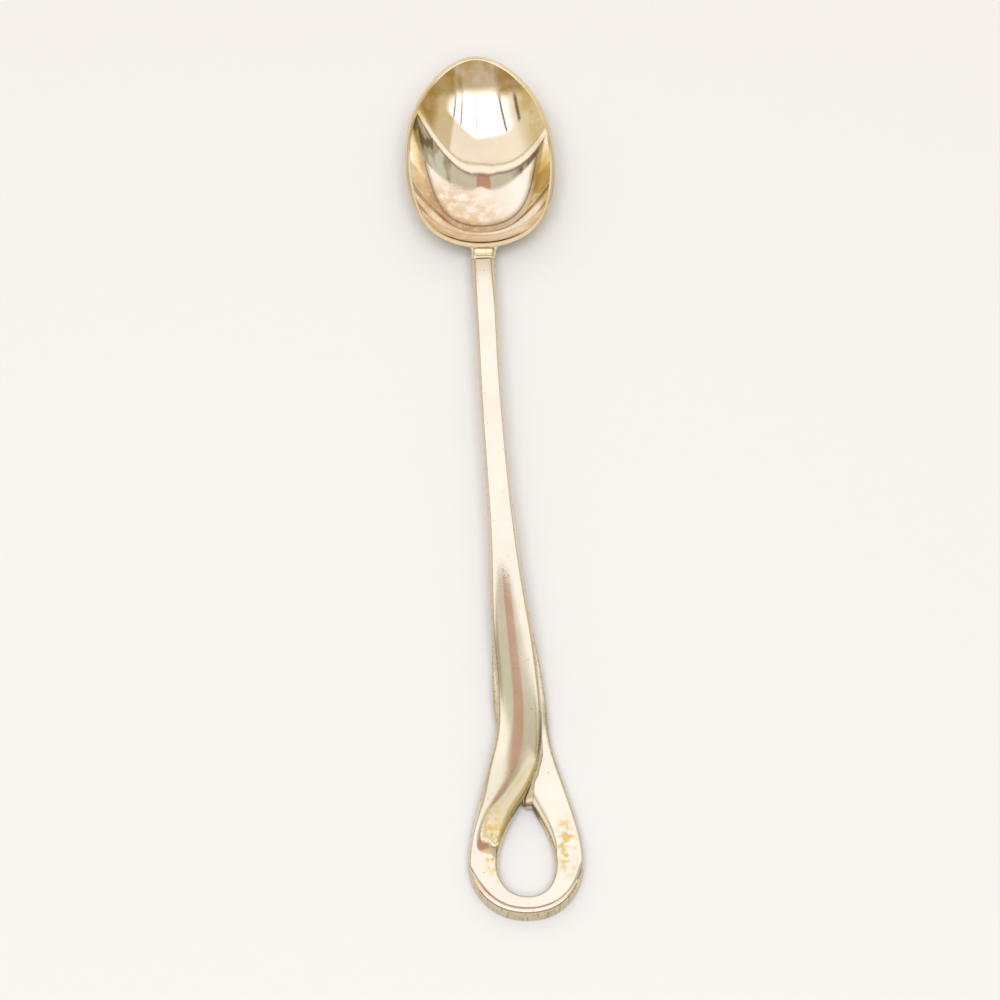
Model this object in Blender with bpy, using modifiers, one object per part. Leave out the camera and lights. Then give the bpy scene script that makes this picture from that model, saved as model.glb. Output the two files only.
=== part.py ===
"""Long-handled spoon with a looped end, modelled in metres, lying as it rests on a table.

A raised egg-shaped bowl is soldered by its heel to one long forged bar. The bar is slim at the neck, widens to a
blade, sweeps over to its left and round into an open eye, and its tail comes back under the blade, where a film
of solder closes the eye. +Y runs from the eye to the tip of the bowl, +Z is up, and z = 0 is the table.
"""

import bmesh
import bpy
import numpy as np

MM = 0.001

# Bowl, in millimetres
BOWL_MIDDLE_Y = 73.98
BOWL_HALF_LENGTH = 21.5
BOWL_HALF_WIDTH = 14.2
BOWL_WALL = 1.0
BOWL_DEPTH = 7.5  # rim to inner floor, at the middle
BOWL_FLOOR_SHIFT = 2.5  # how far the deepest place lies from the middle, towards the handle
TAPER = 0.07  # how the outline leaves an ellipse: narrower towards the tip,
FULLNESS = 0.085  # fuller at both ends,
EGG = 0.20  # then pointed at the tip and square at the heel
WALL_STEEPNESS = 0.2  # how much the wall steepens near the rim, at the sides
END_STEEPNESS = 0.3  # and how much more at the tip and heel
RIM_HEEL_Z = 6.52
RIM_TIP_Z = 12.02
BOWL_CIRCLES = 16
BOWL_SPOKES = 64

# Bar from the neck round the eye to the tail, in millimetres:
# (x, y, half width, top, underside, how high the edge lies between them, roll in degrees, squareness),
# where squareness 2 is an ellipse
BAR_STATIONS = (
    (-0.45, 50.3, 2.35, 5.20, 2.20, 0.5, 0.0, 3.6),
    (-0.43, 43.0, 2.25, 6.36, 3.40, 0.5, 0.0, 3.6),
    (-0.40, 36.0, 2.15, 7.06, 4.10, 0.5, 0.0, 3.6),
    (-0.45, 24.0, 2.06, 7.74, 4.75, 0.5, 0.0, 3.6),
    (-0.35, 10.0, 2.12, 8.05, 5.05, 0.5, 0.0, 3.6),
    (-0.05, -4.0, 2.30, 8.05, 5.00, 0.45, 0.0, 3.2),
    (0.35, -17.0, 2.75, 7.72, 4.75, 0.35, -0.6, 2.6),
    (0.70, -29.0, 3.40, 7.07, 4.62, 0.25, -1.3, 2.2),
    (1.20, -40.0, 3.90, 6.38, 4.18, 0.2, -1.4, 2.1),
    (1.60, -50.0, 3.95, 5.76, 3.78, 0.2, -1.3, 2.1),
    (1.25, -58.0, 4.15, 5.24, 3.46, 0.2, -0.8, 2.1),
    (-0.50, -65.5, 4.15, 4.76, 3.30, 0.2, 0.8, 2.1),
    (-3.70, -73.0, 3.40, 4.30, 1.40, 0.3, 1.5, 2.3),
    (-6.05, -80.0, 2.75, 3.43, 0.10, 0.4, 0.5, 3.6),
    (-6.15, -86.3, 2.50, 3.40, -0.10, 0.5, 0.0, 4.4),
    (-3.30, -90.8, 2.10, 3.43, -0.10, 0.5, 0.0, 5.0),
    (1.20, -92.4, 1.85, 3.46, -0.10, 0.5, 0.0, 5.0),
    (5.80, -91.0, 2.05, 3.42, -0.10, 0.5, 0.0, 5.0),
    (8.60, -86.5, 2.40, 3.30, -0.10, 0.5, 0.0, 4.6),
    (8.80, -80.0, 2.65, 3.15, -0.10, 0.5, 0.0, 4.2),
    (7.10, -73.5, 3.20, 3.00, -0.10, 0.5, 0.0, 3.8),
    (4.80, -67.0, 3.90, 2.86, -0.10, 0.5, 0.0, 3.6),
    (2.70, -60.0, 4.45, 2.90, 0.20, 0.5, 0.0, 3.6),
    (1.80, -52.0, 4.85, 3.24, 1.30, 0.5, 0.0, 3.6),
    (1.50, -44.0, 4.50, 3.58, 2.10, 0.5, 0.0, 3.6),
    (1.15, -36.0, 3.85, 3.90, 2.80, 0.5, 0.0, 3.6),
)
BLADE_START = 7  # the first and last stations between which the blade lies over the tail
BLADE_END = 11
TAIL_START = 21  # the station from which the tail runs under the blade
RINGS_PER_STATION = 6
RING_POINTS = 24

# Seam between blade and tail: level under the crossing, then rising towards the bowl
SEAM_Y = -62.0
SEAM_Z = 3.08
SEAM_SLOPE = 0.04
SEAM_FILM = 0.3
SEAM_GAP = 0.05
FILM_START = (1.9, -59.4)
FILM_END = (1.5, -42.5)
FILM_HALF_WIDTH = 2.4

# Solder at the neck: (x, y, half width, top, underside), from the bar's end into the heel of the bowl
NECK_STATIONS = (
    (-0.45, 50.4, 2.33, 5.20, 2.25),
    (-0.42, 50.8, 2.42, 5.28, 2.20),
    (-0.35, 51.3, 2.75, 5.50, 2.10),
    (-0.20, 51.9, 3.40, 5.80, 1.95),
    (0.00, 52.8, 4.40, 5.95, 1.90),
    (0.00, 56.0, 5.00, 5.60, 2.30),
)
NECK_SQUARENESS = 3.6
NECK_GAP = 0.05
PLUG_HEAD = 5.0

SILVER = (0.90, 0.84, 0.72)
SOLDER = (0.80, 0.74, 0.60)


def clear_scene():
    """Removes what the startup file holds."""
    for obj in list(bpy.data.objects):
        bpy.data.objects.remove(obj)


def new_collection(name, hidden=False):
    """A collection in the scene; a hidden one holds cutters and stays out of a render."""
    collection = bpy.data.collections.new(name)
    collection.hide_render = hidden
    bpy.context.scene.collection.children.link(collection)
    return collection


def metal(name, colour, roughness):
    """A plain metal for one piece."""
    material = bpy.data.materials.new(name)
    material.use_nodes = True
    shader = material.node_tree.nodes["Principled BSDF"]
    shader.inputs["Base Color"].default_value = (*colour, 1.0)
    shader.inputs["Metallic"].default_value = 1.0
    shader.inputs["Roughness"].default_value = roughness
    return material


def spline(knots, values):
    """A function that passes a natural cubic spline through rows of values at the knots."""
    knots = np.asarray(knots, float)
    values = np.asarray(values, float)
    steps = np.diff(knots)
    count = len(knots)
    system = np.eye(count)
    right = np.zeros_like(values)
    for i in range(1, count - 1):
        system[i, i - 1 : i + 2] = steps[i - 1], 2 * (steps[i - 1] + steps[i]), steps[i]
        change = (values[i + 1] - values[i]) / steps[i] - (values[i] - values[i - 1]) / steps[i - 1]
        right[i] = 6 * change
    bend = np.linalg.solve(system, right)

    def at(t):
        i = np.clip(np.searchsorted(knots, t) - 1, 0, count - 2)
        before = (t - knots[i])[:, None]
        after = (knots[i + 1] - t)[:, None]
        step = steps[i][:, None]
        cubic = (bend[i] * after**3 + bend[i + 1] * before**3) / (6 * step)
        start = (values[i] / step - bend[i] * step / 6) * after
        end = (values[i + 1] / step - bend[i + 1] * step / 6) * before
        return cubic + start + end

    return at


def section(points, squareness):
    """A closed superellipse of unit half sides, or one for each row of squareness: across and up, anticlockwise."""
    turn = np.linspace(0.0, 2 * np.pi, points, endpoint=False) + np.pi / points
    across = np.sign(np.cos(turn)) * np.abs(np.cos(turn)) ** (2 / squareness)
    up = np.sign(np.sin(turn)) * np.abs(np.sin(turn)) ** (2 / squareness)
    return across, up


def loft(name, rings, material, collection):
    """A closed solid through rings of equal length, given in millimetres, with a flat cap at each end."""
    count, points = rings.shape[:2]
    shape = bmesh.new()
    rows = [[shape.verts.new(corner) for corner in ring * MM] for ring in rings]
    for i in range(count - 1):
        for j in range(points):
            k = (j + 1) % points
            shape.faces.new((rows[i][j], rows[i][k], rows[i + 1][k], rows[i + 1][j]))
    shape.faces.new(rows[0][::-1])
    shape.faces.new(rows[-1])
    return finish_mesh(name, shape, material, collection)


def finish_mesh(name, shape, material, collection):
    """Turns a bmesh solid outward and makes it a smooth-shaded object."""
    bmesh.ops.recalc_face_normals(shape, faces=shape.faces)
    mesh = bpy.data.meshes.new(name)
    shape.to_mesh(mesh)
    shape.free()
    mesh.shade_smooth()
    mesh.set_sharp_from_angle(angle=np.radians(40))
    mesh.materials.append(material)
    obj = bpy.data.objects.new(name, mesh)
    collection.objects.link(obj)
    return obj


def seam_z(y):
    """Height of the seam between blade and tail."""
    return SEAM_Z + SEAM_SLOPE * np.maximum(y - SEAM_Y, 0.0)


def bar_rings():
    """Rings of the bar, square to its path, held to the seam at the crossing and to the table below."""
    stations = np.array(BAR_STATIONS)
    travelled = np.cumsum(np.hypot(*np.diff(stations[:, :2], axis=0).T))
    knots = np.concatenate([[0.0], travelled])
    path = spline(knots, stations)
    count = RINGS_PER_STATION * (len(stations) - 1) + 1
    index = np.linspace(0, len(stations) - 1, count)
    along = np.interp(index, np.arange(len(stations)), knots)
    step = 0.01
    ahead = path(np.minimum(along + step, knots[-1])) - path(np.maximum(along - step, 0.0))
    heading = ahead[:, :2] / np.hypot(ahead[:, 0], ahead[:, 1])[:, None]
    x, y, half, top, under, share, roll, squareness = path(along).T[:, :, None]
    across, up = section(RING_POINTS, squareness)
    across = half * across
    edge = under + share * (top - under)
    up = np.where(up > 0, top - edge, edge - under) * up
    tilt = np.radians(roll) * np.sign(-heading[:, 1:2])
    across, up = across * np.cos(tilt) + up * np.sin(tilt), up * np.cos(tilt) - across * np.sin(tilt)
    rings = np.empty((count, RING_POINTS, 3))
    rings[:, :, 0] = x - heading[:, 1:2] * across
    rings[:, :, 1] = y + heading[:, 0:1] * across
    rings[:, :, 2] = edge + up
    reach = SEAM_FILM / 2 + SEAM_GAP
    seam = seam_z(rings[:, :, 1])
    blade = (index >= BLADE_START) & (index <= BLADE_END)
    tail = index >= TAIL_START
    rings[blade, :, 2] = np.maximum(rings[blade, :, 2], (seam + reach)[blade])
    rings[tail, :, 2] = np.minimum(rings[tail, :, 2], (seam - reach)[tail])
    rings[:, :, 2] = np.maximum(rings[:, :, 2], 0.0)
    return rings


def make_handle(collection):
    """The bar: shank, blade, eye and tail in one bent length."""
    return loft("handle_bar", bar_rings(), metal("polished_silver_bar", SILVER, 0.12), collection)


def make_seam_film(collection):
    """The solder between blade and tail: a flat tongue on the seam plane, with round ends."""
    start = np.array(FILM_START)
    end = np.array(FILM_END)
    forward = (end - start) / np.hypot(*(end - start))
    aside = np.array([forward[1], -forward[0]])
    turn = np.linspace(0.0, 2 * np.pi, 32, endpoint=False)
    round_end = FILM_HALF_WIDTH * (np.cos(turn)[:, None] * aside + np.sin(turn)[:, None] * forward)
    outline = np.where(np.sin(turn)[:, None] > 0, end - FILM_HALF_WIDTH * forward, start) + round_end
    rings = np.empty((2, len(turn), 3))
    rings[:, :, :2] = outline
    rings[0, :, 2] = seam_z(outline[:, 1]) - SEAM_FILM / 2
    rings[1, :, 2] = seam_z(outline[:, 1]) + SEAM_FILM / 2
    return loft("eye_solder", rings, metal("silver_solder_eye", SOLDER, 0.25), collection)


def bowl_point(radius, turn):
    """Inner face of the bowl: radius runs 0 to 1 from the floor to the rim, and turn goes round from the tip."""
    length = np.cos(turn)
    width = np.sin(turn) * (1 - TAPER * length + FULLNESS * length**2 - EGG * length**3)
    x = BOWL_HALF_WIDTH * radius * width
    shift = BOWL_FLOOR_SHIFT * (1 - radius**2)
    y = BOWL_MIDDLE_Y + BOWL_HALF_LENGTH * radius * length - shift
    rise = (y - (BOWL_MIDDLE_Y - BOWL_HALF_LENGTH)) / (2 * BOWL_HALF_LENGTH)
    rim = RIM_HEEL_Z + (RIM_TIP_Z - RIM_HEEL_Z) * rise
    steepness = WALL_STEEPNESS + END_STEEPNESS * length**2
    drop = BOWL_DEPTH * (1 - radius**2) * (1 + steepness * radius**2)
    return np.stack([x, y, rim - drop], axis=-1)


def bowl_grid(circles, spokes, outward=0.0):
    """Points of the bowl's inner face, or of a face that lies outside it: the floor point, then rings of points."""
    radius = np.linspace(0.0, 1.0, circles + 1)[1:, None]
    turn = np.linspace(0.0, 2 * np.pi, spokes, endpoint=False)[None, :]
    nudge = 0.001
    grid = bowl_point(radius, turn)
    along = bowl_point(radius + nudge, turn) - bowl_point(radius - nudge, turn)
    around = bowl_point(radius, turn + nudge) - bowl_point(radius, turn - nudge)
    normal = np.cross(along, around)
    normal *= np.sign(normal[..., 2:])
    normal /= np.linalg.norm(normal, axis=-1, keepdims=True)
    floor = bowl_point(np.zeros(1), np.zeros(1))[0]
    return floor - [0.0, 0.0, outward], grid - outward * normal


def bowl_faces(shape, floor, rings):
    """Adds the faces that join the floor point and the rings, and returns the last ring's vertices."""
    centre = shape.verts.new(floor * MM)
    rows = [[shape.verts.new(corner) for corner in ring * MM] for ring in rings]
    spokes = rings.shape[1]
    for j in range(spokes):
        k = (j + 1) % spokes
        shape.faces.new((centre, rows[0][k], rows[0][j]))
        for i in range(len(rows) - 1):
            shape.faces.new((rows[i][j], rows[i][k], rows[i + 1][k], rows[i + 1][j]))
    return rows[-1]


def make_bowl(collection):
    """The raised bowl: its inner face as an open sheet, and a wall that grows outward from it."""
    shape = bmesh.new()
    bowl_faces(shape, *bowl_grid(BOWL_CIRCLES, BOWL_SPOKES))
    bowl = finish_mesh("bowl", shape, metal("polished_silver_bowl", SILVER, 0.10), collection)
    solidify = bowl.modifiers.new("Wall", "SOLIDIFY")
    solidify.thickness = BOWL_WALL * MM
    solidify.offset = 1.0
    solidify.use_even_offset = True
    return bowl


def make_bowl_plug(cutters):
    """A solid cutter that fills the bowl and its wall, and stands above the rim."""
    floor, rings = bowl_grid(BOWL_CIRCLES, BOWL_SPOKES, BOWL_WALL + NECK_GAP)
    lid = rings[-1:] + [0.0, 0.0, PLUG_HEAD]
    shape = bmesh.new()
    shape.faces.new(bowl_faces(shape, floor, np.concatenate([rings, lid])))
    plug = finish_mesh("bowl_plug", shape, metal("cutter", SOLDER, 0.5), cutters)
    plug.display_type = "WIRE"
    plug.hide_render = True
    return plug


def make_neck_solder(collection, cutters):
    """The solder saddle that fills the corner between the bar's end and the heel of the bowl."""
    stations = np.array(NECK_STATIONS)
    across, up = section(RING_POINTS, NECK_SQUARENESS)
    rings = np.empty((len(stations), RING_POINTS, 3))
    rings[:, :, 0] = stations[:, 0:1] + stations[:, 2:3] * across
    rings[:, :, 1] = stations[:, 1:2]
    middle = stations[:, 3:5].mean(axis=1)[:, None]
    rings[:, :, 2] = middle + (stations[:, 3:4] - stations[:, 4:5]) / 2 * up
    saddle = loft("neck_solder", rings, metal("silver_solder_neck", SOLDER, 0.25), collection)
    cut = saddle.modifiers.new("Clear of bowl", "BOOLEAN")
    cut.operation = "DIFFERENCE"
    cut.object = make_bowl_plug(cutters)
    return saddle


def main():
    clear_scene()
    collection = new_collection("looped_spoon")
    cutters = new_collection("cutters", hidden=True)
    make_bowl(collection)
    make_neck_solder(collection, cutters)
    make_handle(collection)
    make_seam_film(collection)


if __name__ == "__main__":
    main()
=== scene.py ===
"""Looks of the looped silver spoon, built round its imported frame.

Run as a script in Blender: it registers its panel and operators, makes each piece in turn, sets the stage and
declares what every piece rides on.
"""

import bpy
import numpy as np
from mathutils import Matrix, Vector


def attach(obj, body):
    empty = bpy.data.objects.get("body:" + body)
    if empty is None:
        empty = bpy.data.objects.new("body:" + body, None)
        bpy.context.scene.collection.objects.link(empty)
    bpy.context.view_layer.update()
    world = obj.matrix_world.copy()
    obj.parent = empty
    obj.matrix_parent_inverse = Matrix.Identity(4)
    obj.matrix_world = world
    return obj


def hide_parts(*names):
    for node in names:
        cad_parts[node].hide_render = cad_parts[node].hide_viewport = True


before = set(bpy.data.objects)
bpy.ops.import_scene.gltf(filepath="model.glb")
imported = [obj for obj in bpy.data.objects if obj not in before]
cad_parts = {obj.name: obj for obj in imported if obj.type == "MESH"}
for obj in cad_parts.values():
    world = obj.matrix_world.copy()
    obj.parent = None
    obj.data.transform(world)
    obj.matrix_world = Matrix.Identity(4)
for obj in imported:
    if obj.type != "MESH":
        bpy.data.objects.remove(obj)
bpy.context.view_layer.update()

bl_info = {
    "name": "Looped Silver Spoon",
    "version": (1, 0, 0),
    "blender": (4, 5, 0),
    "location": "View3D > Sidebar > Spoon",
    "description": "Makes a long-handled silver spoon with a looped end",
    "category": "Add Mesh",
}

MM = 0.001

# The bar from the neck round the eye to the tail, in millimetres:
# (x, y, half width, top, underside, how high the edge lies between them, roll in degrees, squareness)
BAR_STATIONS = (
    (-0.45, 50.3, 2.35, 5.20, 2.20, 0.5, 0.0, 3.6),
    (-0.43, 43.0, 2.25, 6.36, 3.40, 0.5, 0.0, 3.6),
    (-0.40, 36.0, 2.15, 7.06, 4.10, 0.5, 0.0, 3.6),
    (-0.45, 24.0, 2.06, 7.74, 4.75, 0.5, 0.0, 3.6),
    (-0.35, 10.0, 2.12, 8.05, 5.05, 0.5, 0.0, 3.6),
    (-0.05, -4.0, 2.30, 8.05, 5.00, 0.45, 0.0, 3.2),
    (0.35, -17.0, 2.75, 7.72, 4.75, 0.35, -0.6, 2.6),
    (0.70, -29.0, 3.40, 7.07, 4.62, 0.25, -1.3, 2.2),
    (1.20, -40.0, 3.90, 6.38, 4.18, 0.2, -1.4, 2.1),
    (1.60, -50.0, 3.95, 5.76, 3.78, 0.2, -1.3, 2.1),
    (1.25, -58.0, 4.15, 5.24, 3.46, 0.2, -0.8, 2.1),
    (-0.50, -65.5, 4.15, 4.76, 3.30, 0.2, 0.8, 2.1),
    (-3.70, -73.0, 3.40, 4.30, 1.40, 0.3, 1.5, 2.3),
    (-6.05, -80.0, 2.75, 3.43, 0.10, 0.4, 0.5, 3.6),
    (-6.15, -86.3, 2.50, 3.40, -0.10, 0.5, 0.0, 4.4),
    (-3.30, -90.8, 2.10, 3.43, -0.10, 0.5, 0.0, 5.0),
    (1.20, -92.4, 1.85, 3.46, -0.10, 0.5, 0.0, 5.0),
    (5.80, -91.0, 2.05, 3.42, -0.10, 0.5, 0.0, 5.0),
    (8.60, -86.5, 2.40, 3.30, -0.10, 0.5, 0.0, 4.6),
    (8.80, -80.0, 2.65, 3.15, -0.10, 0.5, 0.0, 4.2),
    (7.10, -73.5, 3.20, 3.00, -0.10, 0.5, 0.0, 3.8),
    (4.80, -67.0, 3.90, 2.86, -0.10, 0.5, 0.0, 3.6),
    (2.70, -60.0, 4.45, 2.90, 0.20, 0.5, 0.0, 3.6),
    (1.80, -52.0, 4.85, 3.24, 1.30, 0.5, 0.0, 3.6),
    (1.50, -44.0, 4.50, 3.58, 2.10, 0.5, 0.0, 3.6),
    (1.15, -36.0, 3.85, 3.90, 2.80, 0.5, 0.0, 3.6),
)
# the first and last stations of the blade that lie over the tail, and the tail's first station under it
BLADE_START = 7
BLADE_END = 11
TAIL_START = 21

# the seam between blade and tail, in millimetres: level up to SEAM_Y and then rising, with the blade's underside
# SEAM_REACH above it and the tail's top as far below it
SEAM_Y = -62.0
SEAM_Z = 3.08
SEAM_SLOPE = 0.04
SEAM_REACH = 0.2

# how the bowl's outline leaves an ellipse: TAPER and EGG narrow the tip and widen the heel, and FULLNESS rounds out
# both ends
TAPER = 0.07
FULLNESS = 0.085
EGG = 0.20
# how much the bowl's wall steepens near the rim, at the sides and on top of that at the two ends
SIDE_STEEPNESS = 0.2
END_STEEPNESS = 0.3
RIM_CROWN = 0.12  # how far the rim's middle stands above its edges, in millimetres
RIM_POINTS = 10

# the eye's solder from the web to the end of the seam, in millimetres:
# (y, middle, half width, height, half height)
FILM_STATIONS = (
    (-72.2, 2.50, 1.4, 1.45, 1.15),
    (-70.5, 2.75, 1.6, 1.60, 1.34),
    (-68.0, 2.95, 1.5, 1.85, 1.12),
    (-65.5, 2.70, 1.8, 3.02, 0.19),
    (-62.0, 2.10, 3.4, 3.08, 0.19),
    (-50.0, 1.70, 3.7, 3.56, 0.19),
    (-38.0, 1.20, 3.3, 4.04, 0.19),
)

POLISHED = 0.045  # roughness of silver fresh from the buff
BOWL_SATIN = 0.17  # of the worn rim
BAR_SATIN = 0.30  # of the filed side walls
SOLDER = "E9DDC2"


class SpoonSizes(bpy.types.PropertyGroup):
    """Sizes of the spoon that a maker would change."""

    bowl_middle: bpy.props.FloatProperty(
        name="Bowl middle",
        description="Place of the bowl's middle along the spoon",
        default=0.07398,
        unit="LENGTH",
    )
    bowl_half_length: bpy.props.FloatProperty(
        name="Bowl half length",
        description="Half the length of the bowl's mouth",
        default=0.0215,
        unit="LENGTH",
    )
    bowl_half_width: bpy.props.FloatProperty(
        name="Bowl half width",
        description="Half the width of the bowl's mouth",
        default=0.0142,
        unit="LENGTH",
    )
    bowl_depth: bpy.props.FloatProperty(
        name="Bowl depth", description="From the rim down to the floor", default=0.0075, unit="LENGTH"
    )
    rim_heel: bpy.props.FloatProperty(
        name="Rim height at the heel", description="Above the table", default=0.00652, unit="LENGTH"
    )
    rim_tip: bpy.props.FloatProperty(
        name="Rim height at the tip", description="Above the table", default=0.01202, unit="LENGTH"
    )
    wall: bpy.props.FloatProperty(
        name="Wall", description="Thickness of the bowl's floor", default=0.0010, unit="LENGTH"
    )
    rim_wall: bpy.props.FloatProperty(
        name="Rim wall", description="Thickness of the bowl at its rim", default=0.00085, unit="LENGTH"
    )
    floor_shift: bpy.props.FloatProperty(
        name="Floor shift", description="How far the deepest place lies towards the handle", default=0.0025,
        unit="LENGTH",
    )


class SpoonColours(bpy.types.PropertyGroup):
    """Colours of the metal and of the stage, as sRGB hex values."""

    silver: bpy.props.StringProperty(name="Silver", description="Clean polished silver", default="F7EEE5")
    tarnish: bpy.props.StringProperty(name="Tarnish", description="Yellow tarnish", default="E8D08A")
    floor: bpy.props.StringProperty(name="Floor", description="Pale paper", default="D1CFCD")


def linear(code):
    """An sRGB hex colour as linear RGB: each channel through the sRGB curve."""
    channels = [int(code[i : i + 2], 16) / 255 for i in (0, 2, 4)]
    return tuple(c / 12.92 if c <= 0.04045 else ((c + 0.055) / 1.055) ** 2.4 for c in channels)


def node(tree, kind, inputs=None, **settings):
    """Adds a node with its settings; an input is given a value, or the output socket that feeds it."""
    made = tree.nodes.new(kind)
    for key, value in settings.items():
        setattr(made, key, value)
    for key, value in (inputs or {}).items():
        if isinstance(value, bpy.types.NodeSocket):
            tree.links.new(value, made.inputs[key])
        else:
            made.inputs[key].default_value = value
    return made


def spline(knots, values):
    """A natural cubic spline through rows of values: a linear system gives the bend at each knot."""
    steps = np.diff(knots)
    count = len(knots)
    system = np.eye(count)
    inner = np.arange(1, count - 1)
    system[inner, inner - 1] = steps[:-1]
    system[inner, inner] = 2 * (steps[:-1] + steps[1:])
    system[inner, inner + 1] = steps[1:]
    slopes = np.diff(values, axis=0) / steps[:, None]
    right = np.zeros_like(values)
    right[1:-1] = 6 * np.diff(slopes, axis=0)
    bend = np.linalg.solve(system, right)

    def at(t):
        i = np.clip(np.searchsorted(knots, t) - 1, 0, count - 2)
        before = (t - knots[i])[:, None]
        after = (knots[i + 1] - t)[:, None]
        step = steps[i][:, None]
        cubic = (bend[i] * after**3 + bend[i + 1] * before**3) / (6 * step)
        start = (values[i] / step - bend[i] * step / 6) * after
        end = (values[i + 1] / step - bend[i + 1] * step / 6) * before
        return cubic + start + end

    return at


def smooth(x, low, high):
    """0 below low, 1 above high, and the curve 3t2 - 2t3 between."""
    t = np.clip((x - low) / (high - low), 0.0, 1.0)
    return t * t * (3 - 2 * t)


def closing_arc(ends):
    """A quarter circle: 0 where ends is 0, rising steeply to 1 where ends reaches 1, and 1 beyond it."""
    return np.sqrt(np.clip(1 - (1 - np.clip(ends, 0, 1)) ** 2, 0.0, 1.0))


def closed_tube(name, rings):
    """A closed mesh from rings of points in millimetres, with a point that closes each end.

    Ring i and ring i + 1 are joined by quads, and each end ring is joined to the mean of its points.
    """
    count, around = rings.shape[:2]
    points = np.concatenate([rings.reshape(-1, 3), rings[[0, -1]].mean(axis=1)]) * MM
    i, j = np.meshgrid(np.arange(count - 1), np.arange(around), indexing="ij")
    k = (j + 1) % around
    quads = np.stack([i * around + j, i * around + k, (i + 1) * around + k, (i + 1) * around + j], axis=-1)
    j = np.arange(around)
    k = (j + 1) % around
    last = (count - 1) * around
    first_fan = np.stack([k, j, np.full(around, count * around)], axis=-1)
    last_fan = np.stack([last + j, last + k, np.full(around, count * around + 1)], axis=-1)
    quads = quads.reshape(-1, 4)
    fans = np.concatenate([first_fan, last_fan])
    corners = np.concatenate([quads[:, :3], quads[:, [0, 2, 3]], fans])
    if np.linalg.det(points[corners]).sum() < 0:
        quads = quads[:, ::-1]
        fans = fans[:, ::-1]
    mesh = bpy.data.meshes.new(name)
    mesh.from_pydata(points.tolist(), [], quads.tolist() + fans.tolist())
    mesh.shade_smooth()
    obj = bpy.data.objects.new(name, mesh)
    bpy.context.scene.collection.objects.link(obj)
    return obj


def mark(obj, name, values):
    """Keeps one number for each ring point on the mesh for its material; each end takes its ring's mean."""
    data = np.concatenate([values.ravel(), values[[0, -1]].mean(axis=1)]).astype(np.float32)
    obj.data.attributes.new(name, "FLOAT", "POINT").data.foreach_set("value", data)


def place(obj, material, cad_node):
    """Gives a piece its material, hides the CAD node it stands for and says what it rides on."""
    obj.data.materials.append(material)
    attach(obj, "root")
    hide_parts(cad_node)


def seam_z(y):
    """Height of the seam between blade and tail: level under the crossing, then rising towards the bowl."""
    return SEAM_Z + SEAM_SLOPE * np.maximum(y - SEAM_Y, 0.0)


def bar_rings(spacing=0.45, around=144):
    """The bar as rings of points: a superellipse carried square to a spline through the stations.

    Each ring point lies across from the middle line by half the width times the signed power of a cosine, and up
    or down from the edge by the height there times the signed power of a sine, turned by the roll. Both ends are
    rounded by a quarter circle. The blade's rings stop at the seam from above, the tail's from below, and all of
    them at the table. The second value is each point's flank: 0 on the top face and 1 where the wall is upright.
    """
    stations = np.array(BAR_STATIONS)
    knots = np.concatenate([[0.0], np.cumsum(np.hypot(*np.diff(stations[:, :2], axis=0).T))])
    path = spline(knots, stations)
    along = np.linspace(0.0, knots[-1], int(knots[-1] / spacing) + 1)
    index = np.interp(along, knots, np.arange(len(stations)))
    nudge = 0.01
    ahead = path(np.minimum(along + nudge, knots[-1])) - path(np.maximum(along - nudge, 0.0))
    heading = ahead[:, :2] / np.hypot(ahead[:, 0], ahead[:, 1])[:, None]
    x, y, half, top, under, share, roll, squareness = path(along).T[:, :, None]
    ends = np.minimum(along, knots[-1] - along)[:, None]
    end_round = 0.5
    drawn_in = end_round * (1 - closing_arc(ends / end_round))
    half = half - drawn_in
    top = top - drawn_in
    under = under + drawn_in
    turn = np.linspace(0.0, 2 * np.pi, around, endpoint=False)
    power = 2 / squareness
    across = half * np.sign(np.cos(turn)) * np.abs(np.cos(turn)) ** power
    edge = under + share * (top - under)
    reach = np.where(np.sin(turn) > 0, top - edge, edge - under)
    up = reach * np.sign(np.sin(turn)) * np.abs(np.sin(turn)) ** power
    # the walk goes from the bowl to the eye, so its right hand is the spoon's left
    tilt = np.radians(roll) * np.sign(-heading[:, 1:2])
    across, up = across * np.cos(tilt) + up * np.sin(tilt), up * np.cos(tilt) - across * np.sin(tilt)
    rings = np.empty((len(along), around, 3))
    rings[:, :, 0] = x - heading[:, 1:2] * across
    rings[:, :, 1] = y + heading[:, 0:1] * across
    rings[:, :, 2] = edge + up
    seam = seam_z(rings[:, :, 1])
    blade = (index >= BLADE_START) & (index <= BLADE_END)
    tail = index >= TAIL_START
    rings[blade, :, 2] = np.maximum(rings[blade, :, 2], (seam + SEAM_REACH)[blade])
    rings[tail, :, 2] = np.minimum(rings[tail, :, 2], (seam - SEAM_REACH)[tail])
    rings[:, :, 2] = np.maximum(rings[:, :, 2], 0.0)
    flank = smooth(np.abs(across) / half, 0.80, 0.99) * np.ones_like(up)
    return rings, flank


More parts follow.
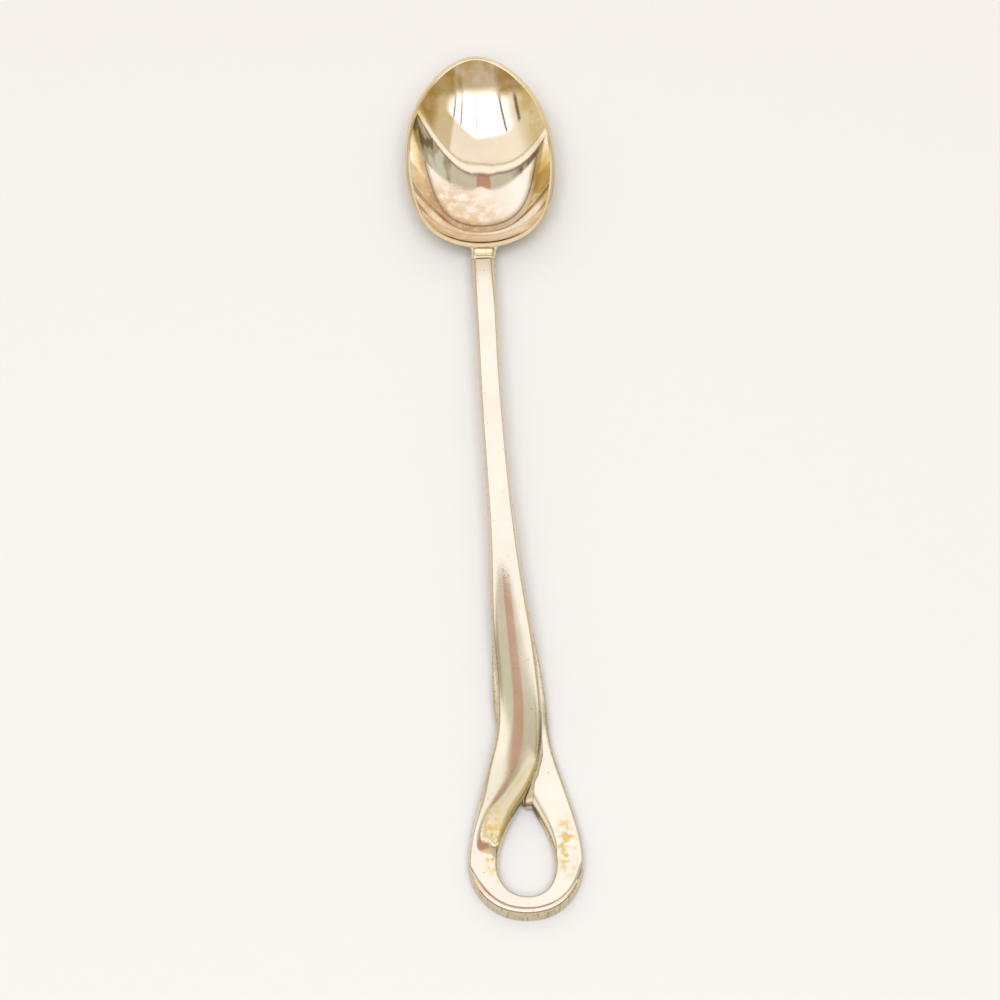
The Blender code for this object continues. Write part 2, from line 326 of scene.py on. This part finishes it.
def bowl_inner(sizes, radius, turn):
    """Inner face of the bowl in millimetres.

    radius runs from 0 at the floor to 1 at the rim, and turn goes round from the tip. The outline is an ellipse
    whose width is multiplied by a cubic in the cosine of turn. The depth falls off as (1 - r2)(1 + s r2), where s
    is larger towards the two ends, and the rim is a plane that rises to the tip.
    """
    length = np.cos(turn)
    width = np.sin(turn) * (1 - TAPER * length + FULLNESS * length**2 - EGG * length**3)
    x = sizes.bowl_half_width * radius * width
    y = sizes.bowl_middle + sizes.bowl_half_length * radius * length - sizes.floor_shift * (1 - radius**2)
    rise = (y - sizes.bowl_middle + sizes.bowl_half_length) / (2 * sizes.bowl_half_length)
    rim = sizes.rim_heel + (sizes.rim_tip - sizes.rim_heel) * rise
    steepness = SIDE_STEEPNESS + END_STEEPNESS * length**2
    drop = sizes.bowl_depth * (1 - radius**2) * (1 + steepness * radius**2)
    return np.stack([x, y, rim - drop], axis=-1) / MM


def bowl_outer(sizes, radius, turn):
    """Outer face: the inner face moved out along its normal by the wall, and lifted level with it at the rim."""
    nudge = 0.001
    along = bowl_inner(sizes, radius + nudge, turn) - bowl_inner(sizes, radius - nudge, turn)
    round_it = bowl_inner(sizes, radius, turn + nudge) - bowl_inner(sizes, radius, turn - nudge)
    normal = np.cross(along, round_it)
    normal *= -np.sign(normal[..., 2:])
    normal /= np.linalg.norm(normal, axis=-1, keepdims=True)
    heel = ((1 - np.cos(turn)) / 2) ** 2
    rim_wall = sizes.rim_wall * (1 + 0.4 * heel)
    thickness = (sizes.wall + (rim_wall - sizes.wall) * radius**2)[..., None] / MM
    moved = bowl_inner(sizes, radius, turn) + thickness * normal
    lift = smooth(radius, 0.93, 1.0)[..., None] * -normal[..., 2:] * thickness
    return moved + lift * np.array([0.0, 0.0, 1.0])


def bowl_rings(sizes, around=320):
    """The whole bowl as one closed surface: up the inner face, over the crowned rim and down the outer face.

    The crown is a fourth power across the rim. The second value is how high each point is, 0 at the floor and 1 at
    the rim, and the third is 1 on the inner face.
    """
    turn = np.linspace(0.0, 2 * np.pi, around, endpoint=False)[None, :]
    climb = np.linspace(0.004, 1.0, 110)[:, None] ** 0.8
    inner = bowl_inner(sizes, climb, turn)
    outer = bowl_outer(sizes, climb[::-1] * np.ones_like(turn), turn)
    inner[-1, :, 2] -= RIM_CROWN
    outer[0, :, 2] -= RIM_CROWN
    step = np.linspace(0.0, 1.0, RIM_POINTS + 2)[1:-1, None, None]
    land = inner[-1] * (1 - step) + outer[0] * step
    land[:, :, 2] += RIM_CROWN * (1 - (2 * step[:, :, 0] - 1) ** 4)
    rings = np.concatenate([inner, land, outer])
    high = np.concatenate([climb, np.ones(len(step))[:, None], climb[::-1]]) * np.ones_like(turn)
    within = np.concatenate([np.ones(len(climb)), np.zeros(len(step) + len(climb))])
    return rings, high, within[:, None] * np.ones_like(turn)


def area(tree, *limits):
    """A mask that is 1 where every limit holds: the product of one smooth step for each limit.

    A limit is a value and two levels, and its step goes from 0 at the first level to 1 at the second. A socket
    alone is a mask already.
    """
    mask = None
    for limit in limits:
        if isinstance(limit, tuple):
            span = dict(zip(("Value", "From Min", "From Max"), limit))
            step = node(tree, "ShaderNodeMapRange", span, interpolation_type="SMOOTHSTEP")
            limit = step.outputs["Result"]
        if mask is None:
            mask = limit
        else:
            mask = node(tree, "ShaderNodeMath", {0: mask, 1: limit}, operation="MULTIPLY").outputs[0]
    return mask


def coat(tree, below, code, *limits, strength=1.0):
    """A colour laid over the one below, inside the area that the limits give."""
    over = (*(strength * channel for channel in linear(code)), 1.0)
    layers = {0: area(tree, *limits), 6: below, 7: over}
    return node(tree, "ShaderNodeMix", layers, data_type="RGBA").outputs[2]


def start_silver(name, colours):
    """A metal material, its tree and shader, where a point is in millimetres, and the clean silver's colour."""
    material = bpy.data.materials.new(name)
    material.use_nodes = True
    tree = material.node_tree
    shader = tree.nodes["Principled BSDF"]
    shader.inputs["Metallic"].default_value = 1.0
    here = node(tree, "ShaderNodeTexCoord").outputs["Object"]
    per_metre = (1 / MM, 1 / MM, 1 / MM)
    here = node(tree, "ShaderNodeVectorMath", {0: here, 1: per_metre}, operation="MULTIPLY").outputs[0]
    # buffed silver is a warm white, a little greyer in patches of about a centimetre
    uneven = node(tree, "ShaderNodeTexNoise", {"Vector": here, "Scale": 0.12, "Detail": 3.0}).outputs["Fac"]
    clean = linear(colours.silver)
    shades = {0: area(tree, (uneven, 0.35, 0.7)), 6: (*clean, 1.0), 7: (*(0.93 * c for c in clean), 1.0)}
    colour = node(tree, "ShaderNodeMix", shades, data_type="RGBA").outputs[2]
    return material, tree, shader, here, colour


def spot(tree, here, centre, radii):
    """A soft round mask: 1 at the centre and 0 outside the ellipsoid with these radii, in millimetres."""
    away = node(tree, "ShaderNodeVectorMath", {0: here, 1: centre}, operation="SUBTRACT").outputs[0]
    away = node(tree, "ShaderNodeVectorMath", {0: away, 1: radii}, operation="DIVIDE").outputs[0]
    far = node(tree, "ShaderNodeVectorMath", {0: away}, operation="LENGTH").outputs["Value"]
    return area(tree, (far, 1.0, 0.35))


def finish_silver(tree, shader, here, colour, roughness):
    """Joins colour, roughness and fine wear to the shader; a roughness that is even all over is a number."""
    tree.links.new(colour, shader.inputs["Base Color"])
    if isinstance(roughness, bpy.types.NodeSocket):
        tree.links.new(roughness, shader.inputs["Roughness"])
    else:
        shader.inputs["Roughness"].default_value = roughness
    # handling wear: dents of half a millimetre and a fine grain, a few micrometres deep
    grain = node(tree, "ShaderNodeTexNoise", {"Vector": here, "Scale": 2.2, "Detail": 6.0, "Roughness": 0.65})
    height = grain.outputs["Fac"]
    bump = node(tree, "ShaderNodeBump", {"Height": height, "Strength": 0.5, "Distance": 0.000006})
    tree.links.new(bump.outputs["Normal"], shader.inputs["Normal"])


def bowl_silver(colours):
    """Polished silver with pink-brown wear near the heel, olive film up the walls and a satin rim."""
    material, tree, shader, here, colour = start_silver("polished_silver_bowl", colours)
    high = node(tree, "ShaderNodeAttribute", attribute_name="high").outputs["Fac"]
    inside = node(tree, "ShaderNodeAttribute", attribute_name="inside").outputs["Fac"]
    coarse = node(tree, "ShaderNodeTexNoise", {"Vector": here, "Scale": 0.35, "Detail": 4.0}).outputs["Fac"]
    blotches = node(tree, "ShaderNodeTexNoise", {"Vector": here, "Scale": 0.55, "Detail": 4.0}).outputs["Fac"]
    pinpoints = node(tree, "ShaderNodeTexVoronoi", {"Vector": here, "Scale": 0.9}).outputs["Distance"]
    # olive film: stronger towards the rim, broken into patches, and darkest on the right wall
    colour = coat(tree, colour, "DCC794", inside, (high, 0.70, 0.98), (coarse, 0.30, 0.62))
    right_wall = spot(tree, here, (12.3, 68.0, 6.5), (3.6, 8.5, 7.0))
    colour = coat(tree, colour, "C4AD74", inside, right_wall, (coarse, 0.30, 0.50))
    # pink-brown wear on the heel's slope, with clean pinpoints in it
    wear = area(tree, inside, spot(tree, here, (-6.0, 63.0, 3.0), (15.0, 11.0, 10.0)), (blotches, 0.24, 0.60))
    colour = coat(tree, colour, "E0C4A2", wear)
    colour = coat(tree, colour, colours.silver, wear, (pinpoints, 0.20, 0.10))
    # the rim and the outside are handled most: a tan satin on the rim, a yellower silver outside
    rim = area(tree, (high, 0.985, 0.999))
    colour = coat(tree, colour, "E6D7B8", rim)
    colour = coat(tree, colour, "E0CFAC", (inside, 1.0, 0.0), (coarse, 0.2, 0.6))
    half_worn = node(tree, "ShaderNodeMath", {0: wear, 1: 0.5}, operation="MULTIPLY").outputs[0]
    satin = node(tree, "ShaderNodeMath", {0: rim, 1: half_worn}, operation="MAXIMUM").outputs[0]
    rough = node(tree, "ShaderNodeMix", {0: satin, 2: POLISHED, 3: BOWL_SATIN}, data_type="FLOAT").outputs[0]
    finish_silver(tree, shader, here, colour, rough)
    return material


def bar_silver(colours):
    """Polished silver: satin side walls with a painted tan floor reflection and painted shade, yellow tarnish round
    the eye, painted shade in its crotch and under the blade, a dull blade and dark pits.
    """
    material, tree, shader, here, colour = start_silver("polished_silver_bar", colours)
    flank = node(tree, "ShaderNodeAttribute", attribute_name="flank").outputs["Fac"]
    x, y, z = node(tree, "ShaderNodeSeparateXYZ", {"Vector": here}).outputs
    coarse = node(tree, "ShaderNodeTexNoise", {"Vector": here, "Scale": 0.30, "Detail": 4.0}).outputs["Fac"]
    flecks = node(tree, "ShaderNodeTexNoise", {"Vector": here, "Scale": 0.8, "Detail": 5.0}).outputs["Fac"]
    # patina on the blade and the left limb: a thin grey film, a little blotchy
    blade = area(tree, (y, -79.0, -74.0), (y, -20.0, -45.0), (x, 6.6, 5.4))
    top_face = area(tree, (z, 3.25, 3.6))
    colour = coat(tree, colour, "EFE9D8", blade, top_face, (coarse, 0.25, 0.65))
    colour = coat(tree, colour, "E6E0CE", spot(tree, here, (-1.6, -70.0, 4.5), (8.0, 9.5, 8.0)), top_face)
    # side walls: painted reflection of the floor and painted shade, tan and darker, matt, with upright streaks from
    # the file, half a millimetre apart
    tall = node(tree, "ShaderNodeVectorMath", {0: here, 1: (2.2, 2.2, 0.25)}, operation="MULTIPLY").outputs[0]
    streaks = node(tree, "ShaderNodeTexNoise", {"Vector": tall, "Scale": 1.0, "Detail": 4.0}).outputs["Fac"]
    colour = coat(tree, colour, "D6C7AA", flank)
    colour = coat(tree, colour, "B09E82", flank, (streaks, 0.50, 0.68))
    # yellow tarnish in flecks on both limbs of the eye
    left_limb = spot(tree, here, (-4.4, -79.5, 3.5), (2.6, 10.0, 4.0))
    right_limb = spot(tree, here, (8.7, -81.0, 3.2), (2.6, 8.5, 4.0))
    limbs = node(tree, "ShaderNodeMath", {0: left_limb, 1: right_limb}, operation="MAXIMUM").outputs[0]
    tarnish = area(tree, limbs, (flecks, 0.42, 0.60))
    colour = coat(tree, colour, colours.tarnish, tarnish)
    # painted shade: dark in the crotch of the eye and under the blade's edge
    colour = coat(tree, colour, "5E4C3A", spot(tree, here, (2.8, -73.6, 0.9), (3.2, 2.8, 2.8)), flank)
    colour = coat(tree, colour, "7A5F48", spot(tree, here, (5.6, -58.0, 3.5), (2.2, 9.0, 1.7)), flank)
    # casting pits a tenth of a millimetre across, in some of the cells of a millimetre
    cells = node(tree, "ShaderNodeTexVoronoi", {"Vector": here, "Scale": 0.8})
    chosen = node(tree, "ShaderNodeSeparateXYZ", {"Vector": cells.outputs["Color"]}).outputs[0]
    colour = coat(tree, colour, "8C755A", (cells.outputs["Distance"], 0.11, 0.06), (chosen, 0.60, 0.64))
    haze = node(tree, "ShaderNodeMath", {0: blade, 1: 0.28}, operation="MULTIPLY").outputs[0]
    satin = node(tree, "ShaderNodeMath", {0: flank, 1: tarnish}, operation="MAXIMUM").outputs[0]
    satin = node(tree, "ShaderNodeMath", {0: satin, 1: haze}, operation="MAXIMUM").outputs[0]
    rough = node(tree, "ShaderNodeMix", {0: satin, 2: POLISHED, 3: BAR_SATIN}, data_type="FLOAT").outputs[0]
    finish_silver(tree, shader, here, colour, rough)
    return material


def solder_silver(name, colours, shades, roughness):
    """Silver solder: a little yellower than the silver, and mottled between two shades of one colour."""
    material, tree, shader, here, _ = start_silver(name, colours)
    bright, dark = ((*(shade * channel for channel in linear(SOLDER)), 1.0) for shade in shades)
    mottle = node(tree, "ShaderNodeTexNoise", {"Vector": here, "Scale": 0.9, "Detail": 4.0}).outputs["Fac"]
    mixed = {0: area(tree, (mottle, 0.25, 0.6)), 6: bright, 7: dark}
    colour = node(tree, "ShaderNodeMix", mixed, data_type="RGBA").outputs[2]
    finish_silver(tree, shader, here, colour, roughness)
    return material


class SPOON_OT_stage(bpy.types.Operator):
    """Makes the pale paper floor, the surroundings that the silver mirrors, the lights and the camera"""

    bl_idname = "spoon.stage"
    bl_label = "Stage"

    def execute(self, context):
        colours = context.scene.spoon_colours
        half = 1.5
        corners = [(-half, -half, 0), (half, -half, 0), (half, half, 0), (-half, half, 0)]
        mesh = bpy.data.meshes.new("floor")
        mesh.from_pydata(corners, [], [(0, 1, 2, 3)])
        floor = bpy.data.objects.new("floor", mesh)
        context.scene.collection.objects.link(floor)
        paper = bpy.data.materials.new("matt_paper")
        paper.use_nodes = True
        shader = paper.node_tree.nodes["Principled BSDF"]
        tree = paper.node_tree
        here = node(tree, "ShaderNodeTexCoord").outputs["Object"]
        _, y, _ = node(tree, "ShaderNodeSeparateXYZ", {"Vector": here}).outputs
        # painted light: matt paper whose colour is a touch lighter towards the window beyond the bowl
        front = (*(0.94 * channel for channel in linear(colours.floor)), 1.0)
        painted_floor_light = coat(tree, front, colours.floor, (y, -0.14, 0.14))
        tree.links.new(painted_floor_light, shader.inputs["Base Color"])
        shader.inputs["Roughness"].default_value = 0.9
        shader.inputs["Specular IOR Level"].default_value = 0.1
        mesh.materials.append(paper)
        make_surroundings(context.scene)
        make_fill(context.scene)
        make_camera(context.scene)
        context.scene.view_settings.view_transform = "Standard"
        return {"FINISHED"}


# where each glazing bar stands from left to right, and half its width
GLAZING_BARS = ((-0.84, 0.022), (-0.64, 0.022), (0.06, 0.010), (0.50, 0.016), (0.64, 0.016))


def make_surroundings(scene):
    """The room as the silver mirrors it, in zones laid one over another from the far end to the camera.

    climb is the angle round the spoon's cross axis: 0 at the horizon beyond the bowl, 90 overhead and 180 at the
    horizon in front. x runs from -1 at the left to 1 at the right, and side is its distance from the middle.
    """
    world = bpy.data.worlds.new("studio")
    scene.world = world
    world.use_nodes = True
    tree = world.node_tree
    direction = node(tree, "ShaderNodeTexCoord").outputs["Generated"]
    x, y, z = node(tree, "ShaderNodeSeparateXYZ", {"Vector": direction}).outputs
    angle = node(tree, "ShaderNodeMath", {0: z, 1: y}, operation="ARCTAN2").outputs[0]
    climb = node(tree, "ShaderNodeMath", {0: angle}, operation="DEGREES").outputs[0]
    side = node(tree, "ShaderNodeMath", {0: x}, operation="ABSOLUTE").outputs[0]
    colour = (*(1.15 * channel for channel in linear("FFFCF6")), 1.0)
    # beyond the bowl: a white sheet down to 40 degrees, tan below it, with a dark seam between
    colour = coat(tree, colour, "DCCDB4", (climb, 40.0, 30.0))
    colour = coat(tree, colour, "B9895A", (climb, 30.5, 29.0), (climb, 26.0, 28.0), strength=0.7)
    # a grey-green band with a red-brown post in its middle, and furniture where it comes down at the sides
    band = area(tree, (y, 0.424, 0.416))
    colour = coat(tree, colour, "CFCAB6", band)
    from_post = node(tree, "ShaderNodeMath", {0: x, 1: 0.04}, operation="ADD").outputs[0]
    from_post = node(tree, "ShaderNodeMath", {0: from_post}, operation="ABSOLUTE").outputs[0]
    colour = coat(tree, colour, "C4987E", band, (from_post, 0.150, 0.132))
    wide = node(tree, "ShaderNodeVectorMath", {0: direction, 1: (4.5, 6.0, 6.0)}, operation="MULTIPLY").outputs[0]
    clutter = node(tree, "ShaderNodeTexNoise", {"Vector": wide, "Scale": 1.0, "Detail": 2.0}).outputs["Fac"]
    furniture = area(tree, band, (side, 0.56, 0.66))
    colour = coat(tree, colour, "B5AA8C", furniture)
    colour = coat(tree, colour, "C9CABB", furniture, (clutter, 0.54, 0.62), strength=1.1)
    colour = coat(tree, colour, "75694F", furniture, (clutter, 0.46, 0.38))
    # above the band, in an arch that comes down at the right and a little at the far left: a purple edge, a
    # cream moulding, a thin rib and the beige wall
    right = node(tree, "ShaderNodeMath", {0: x, 1: 0.0}, operation="MAXIMUM").outputs[0]
    right = node(tree, "ShaderNodeMath", {0: right, 1: right}, operation="MULTIPLY").outputs[0]
    arch = node(tree, "ShaderNodeMath", {0: right, 1: 0.19, 2: y}, operation="MULTIPLY_ADD").outputs[0]
    left = node(tree, "ShaderNodeMath", {0: x, 1: -0.35}, operation="MINIMUM").outputs[0]
    arch = node(tree, "ShaderNodeMath", {0: left, 1: 0.09, 2: arch}, operation="MULTIPLY_ADD").outputs[0]
    arch = node(tree, "ShaderNodeMath", {0: arch, 1: 0.0315}, operation="ADD").outputs[0]
    colour = coat(tree, colour, "8C6A5C", (arch, 0.348, 0.342))
    colour = coat(tree, colour, "FFFAE8", (arch, 0.332, 0.326), strength=1.1)
    colour = coat(tree, colour, "CFBF9C", (arch, 0.282, 0.276), (arch, 0.258, 0.264))
    wall = area(tree, (arch, 0.266, 0.258))
    colour = coat(tree, colour, "FFF3DF", wall, strength=1.03)
    colour = coat(tree, colour, "EADBB8", wall, (side, 0.74, 0.90))
    colour = coat(tree, colour, "DCCBA0", wall, (x, 0.60, 0.66))
    # overhead: a window whose lower edge climbs to the right, with dark glazing bars
    sill = node(tree, "ShaderNodeMath", {0: right, 1: -26.0, 2: climb}, operation="MULTIPLY_ADD").outputs[0]
    colour = coat(tree, colour, "FFFFFF", (sill, 86.0, 87.5), (side, 0.80, 0.66), strength=1.5)
    glazed = area(tree, (sill, 86.5, 88.0), (climb, 118.0, 108.0))
    for bar, width in GLAZING_BARS:
        away = node(tree, "ShaderNodeMath", {0: x, 1: bar}, operation="SUBTRACT").outputs[0]
        away = node(tree, "ShaderNodeMath", {0: away}, operation="ABSOLUTE").outputs[0]
        colour = coat(tree, colour, "8E7460", glazed, (away, width, width / 2))
    # in front: a grey ceiling, olive corners and the dim room behind the camera
    colour = coat(tree, colour, "D3C6B0", (climb, 114.0, 122.0))
    corners = node(tree, "ShaderNodeMath", {0: clutter, 1: 0.5, 2: side}, operation="MULTIPLY_ADD").outputs[0]
    colour = coat(tree, colour, "B9A274", (climb, 108.0, 118.0), (corners, 0.70, 0.95))
    colour = coat(tree, colour, "B9A274", (climb, 72.0, 80.0), (x, 0.82, 0.92))
    colour = coat(tree, colour, "A8997C", (climb, 138.0, 160.0))
    background = tree.nodes["Background"]
    tree.links.new(colour, background.inputs["Color"])
    background.inputs["Strength"].default_value = 1.0


def make_fill(scene):
    """A soft lamp over the eye end that brightens the paper and isn't mirrored."""
    lamp = bpy.data.lights.new("fill", "AREA")
    lamp.shape = "SQUARE"
    lamp.size = 0.8
    lamp.energy = 14.0
    lamp.color = (0.90, 0.96, 1.05)
    fill = bpy.data.objects.new("fill", lamp)
    fill.location = (-0.05, -0.6, 1.1)
    fill.rotation_euler = (np.radians(28.0), 0.0, 0.0)
    fill.visible_glossy = False
    fill.visible_camera = False
    scene.collection.objects.link(fill)


def make_camera(scene):
    """A long lens from above the eye end, a little to the left."""
    data = bpy.data.cameras.new("camera")
    data.lens = 131.3
    data.sensor_width = 36.0
    data.clip_start = 0.01
    data.clip_end = 20.0
    camera = bpy.data.objects.new("camera", data)
    camera.location = (-0.01797, -0.38509, 0.58707)
    forward = Vector((0.02619, 0.54401, -0.83867))
    camera.rotation_mode = "QUATERNION"
    camera.rotation_quaternion = forward.to_track_quat("-Z", "Y")
    scene.collection.objects.link(camera)
    scene.camera = camera


class SPOON_OT_bowl(bpy.types.Operator):
    """Makes the raised bowl"""

    bl_idname = "spoon.bowl"
    bl_label = "Bowl"

    def execute(self, context):
        rings, high, inside = bowl_rings(context.scene.spoon_sizes)
        bowl = closed_tube("silver_bowl", rings)
        mark(bowl, "high", high)
        mark(bowl, "inside", inside)
        place(bowl, bowl_silver(context.scene.spoon_colours), "bowl")
        return {"FINISHED"}


class SPOON_OT_bar(bpy.types.Operator):
    """Makes the bar: shank, blade, eye and tail"""

    bl_idname = "spoon.bar"
    bl_label = "Handle bar"

    def execute(self, context):
        rings, flank = bar_rings()
        bar = closed_tube("silver_bar", rings)
        mark(bar, "flank", flank)
        place(bar, bar_silver(context.scene.spoon_colours), "handle_bar")
        return {"FINISHED"}


def neck_rings(sizes, around=120, count=60):
    """The solder fillet between bar and bowl.

    It starts as the bar's own section and ends on the bowl's outer face. Between them each point follows a cubic
    that leaves along the bar and arrives along the wall, so that the fillet is hollow all round. Its last ring is
    sunk into the wall.
    """
    overlap = 0.5  # how far the fillet reaches back over the bar
    inset = 0.02  # how far its start lies under the bar's skin
    rise = 0.07  # of the bar over the overlap
    turn = np.linspace(0.0, 2 * np.pi, around, endpoint=False)
    x, y, half, top, under, _, _, squareness = BAR_STATIONS[0]
    across = np.sign(np.cos(turn)) * np.abs(np.cos(turn)) ** (2 / squareness)
    up = np.sign(np.sin(turn)) * np.abs(np.sin(turn)) ** (2 / squareness)
    start_x = x + (half - inset) * across
    start_z = (top + under) / 2 + rise + ((top - under) / 2 - inset) * up
    start = np.stack([start_x, np.full(around, y - overlap), start_z], axis=-1)
    # where it meets the bowl: an arc each side of the heel, from low on the wall to just under the rim
    angle = np.pi - 0.17 * across
    radius = 0.86 + 0.125 * up
    nudge = 0.001
    end = bowl_outer(sizes, radius, angle)
    upward = bowl_outer(sizes, radius + nudge, angle) - bowl_outer(sizes, radius - nudge, angle)
    sideways = bowl_outer(sizes, radius, angle - nudge) - bowl_outer(sizes, radius, angle + nudge)
    upward /= np.linalg.norm(upward, axis=-1, keepdims=True)
    sideways /= np.linalg.norm(sideways, axis=-1, keepdims=True)
    pull = 1.8  # how strongly the fillet keeps to the bar and to the wall
    arrive = pull * (np.cos(turn)[:, None] * sideways + np.sin(turn)[:, None] * upward)
    leave = np.array([0.0, pull, -0.28])
    v = np.linspace(0.0, 1.0, count)[:, None, None]
    rings = (
        (2 * v**3 - 3 * v**2 + 1) * start
        + (v**3 - 2 * v**2 + v) * leave
        + (3 * v**2 - 2 * v**3) * end
        + (v**3 - v**2) * arrive
    )
    sunk = end + np.array([0.0, 0.25, 0.0])
    return np.concatenate([rings, sunk[None]])


def film_rings(around=64, count=140):
    """The solder in the eye: a flat lens in the seam under the crossing, and a web that fills the crotch.

    Each ring is an ellipse whose middle, half width, height and half height run straight from station to
    station. Both ends draw in by a quarter circle to three tenths of their size.
    """
    knots, *columns = np.array(FILM_STATIONS).T
    y = np.linspace(knots[0], knots[-1], count)
    middle, half, height, thick = (np.interp(y, knots, column)[:, None] for column in columns)
    end_length = 1.3
    ends = np.minimum(y - knots[0], knots[-1] - y)[:, None]
    closing = 0.3 + 0.7 * closing_arc(ends / end_length)
    turn = np.linspace(0.0, 2 * np.pi, around, endpoint=False)[None, :]
    x = middle + half * closing * np.cos(turn)
    z = height + thick * closing * np.sin(turn)
    return np.stack([x, y[:, None] * np.ones_like(turn), z], axis=-1)


class SPOON_OT_neck(bpy.types.Operator):
    """Makes the solder fillet that joins the bar to the bowl"""

    bl_idname = "spoon.neck"
    bl_label = "Neck solder"

    def execute(self, context):
        neck = closed_tube("neck_fillet", neck_rings(context.scene.spoon_sizes))
        colours = context.scene.spoon_colours
        polished = solder_silver("polished_solder_neck", colours, shades=(1.06, 1.0), roughness=0.08)
        place(neck, polished, "neck_solder")
        return {"FINISHED"}


class SPOON_OT_film(bpy.types.Operator):
    """Makes the solder film between blade and tail"""

    bl_idname = "spoon.film"
    bl_label = "Eye solder"

    def execute(self, context):
        film = closed_tube("eye_film", film_rings())
        colours = context.scene.spoon_colours
        filed = solder_silver("filed_solder_eye", colours, shades=(0.86, 0.70), roughness=0.27)
        place(film, filed, "eye_solder")
        return {"FINISHED"}


STEPS = (SPOON_OT_stage, SPOON_OT_bowl, SPOON_OT_bar, SPOON_OT_neck, SPOON_OT_film)


class SPOON_PT_panel(bpy.types.Panel):
    """Lists the sizes, the colours and the steps"""

    bl_idname = "SPOON_PT_panel"
    bl_label = "Looped spoon"
    bl_space_type = "VIEW_3D"
    bl_region_type = "UI"
    bl_category = "Spoon"

    def draw(self, context):
        layout = self.layout
        for group in (context.scene.spoon_sizes, context.scene.spoon_colours):
            for name in group.__annotations__:
                layout.prop(group, name)
        for operator in STEPS:
            layout.operator(operator.bl_idname)


CLASSES = (SpoonSizes, SpoonColours, *STEPS, SPOON_PT_panel)


def register():
    for cls in CLASSES:
        bpy.utils.register_class(cls)
    bpy.types.Scene.spoon_sizes = bpy.props.PointerProperty(type=SpoonSizes)
    bpy.types.Scene.spoon_colours = bpy.props.PointerProperty(type=SpoonColours)


def unregister():
    del bpy.types.Scene.spoon_colours
    del bpy.types.Scene.spoon_sizes
    for cls in reversed(CLASSES):
        bpy.utils.unregister_class(cls)


def main():
    register()
    bpy.ops.spoon.stage()
    bpy.ops.spoon.bowl()
    bpy.ops.spoon.bar()
    bpy.ops.spoon.neck()
    bpy.ops.spoon.film()


if __name__ == "__main__":
    main()
